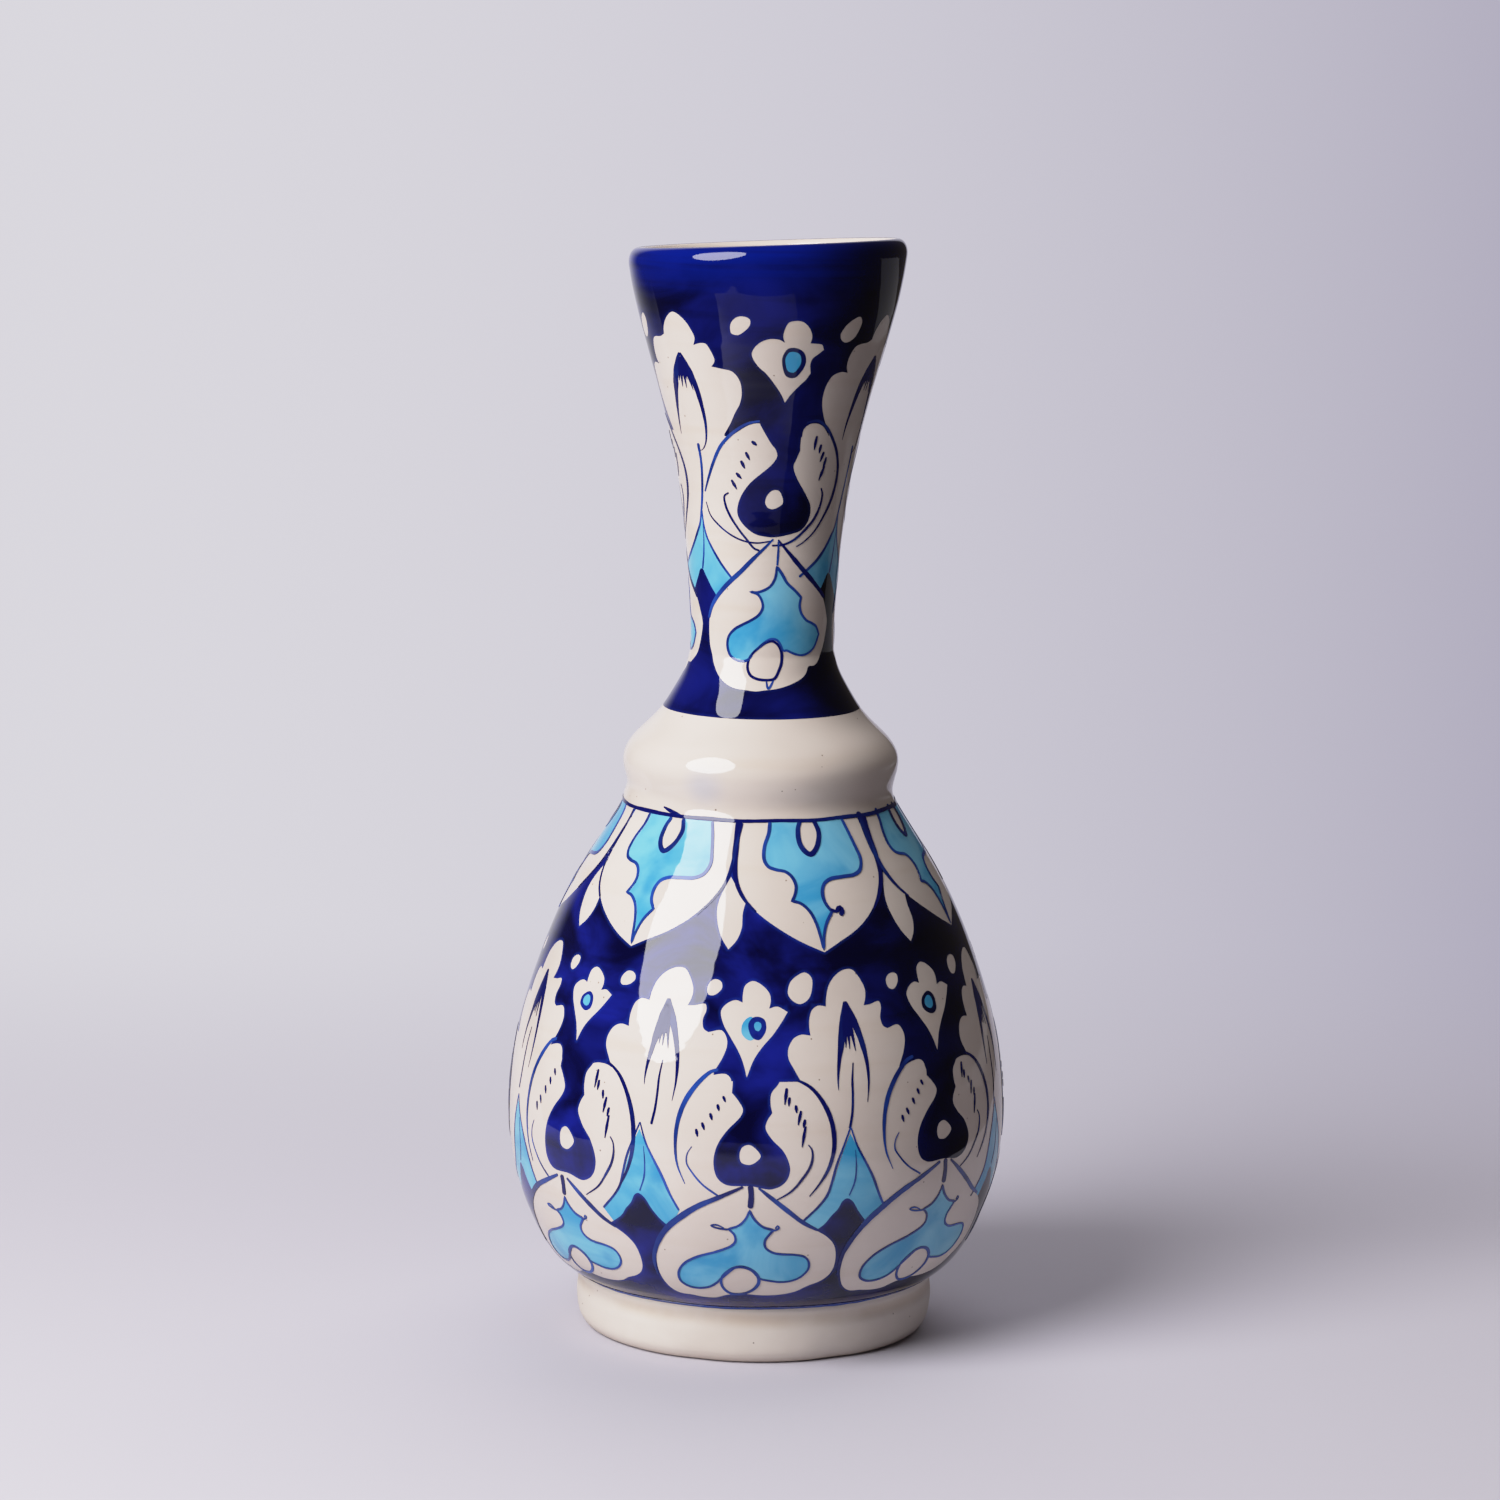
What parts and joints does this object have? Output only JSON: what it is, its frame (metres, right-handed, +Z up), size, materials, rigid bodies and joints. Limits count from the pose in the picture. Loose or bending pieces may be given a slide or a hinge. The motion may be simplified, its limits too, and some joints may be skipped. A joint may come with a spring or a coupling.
{
  "type": "bottle vase",
  "caption": "Free-standing pottery bottle vase: round belly on a turned foot, bulging collar, long waisted neck and flared mouth, painted in blues under a clear glaze.",
  "frame": {"origin": "centre of the foot, on the plane that the vase stands on", "axes": "+Z up along the vase's axis; -Y is the side that is looked at; the rim is highest to the right of the front"},
  "size_m": [0.1372, 0.1372, 0.3021],
  "materials": {
    "bare_clay": "matt, dry, fired white clay, unglazed",
    "slip": "matt, the same clay as a thin fired layer, glazed over where it shows",
    "glazed_body": "glossy clear glaze over cream slip with small iron specks",
    "cobalt_paint": "glossy dark cobalt blue brushed under the clear glaze, with lap marks",
    "turquoise_paint": "glossy turquoise wash under the clear glaze, uneven in depth",
    "line_paint": "glossy blue brush lines under the clear glaze"
  },
  "bodies": {
    "root": {"foot_ring": "bare_clay", "foot_slip_joint": "slip", "lower_body": "glazed_body", "waist_slip_joint": "slip", "upper_body": "glazed_body", "shoulder_slip_joint": "slip", "collar": "glazed_body", "neck_slip_joint": "slip", "neck": "glazed_body"}
  },
  "joints": []
}
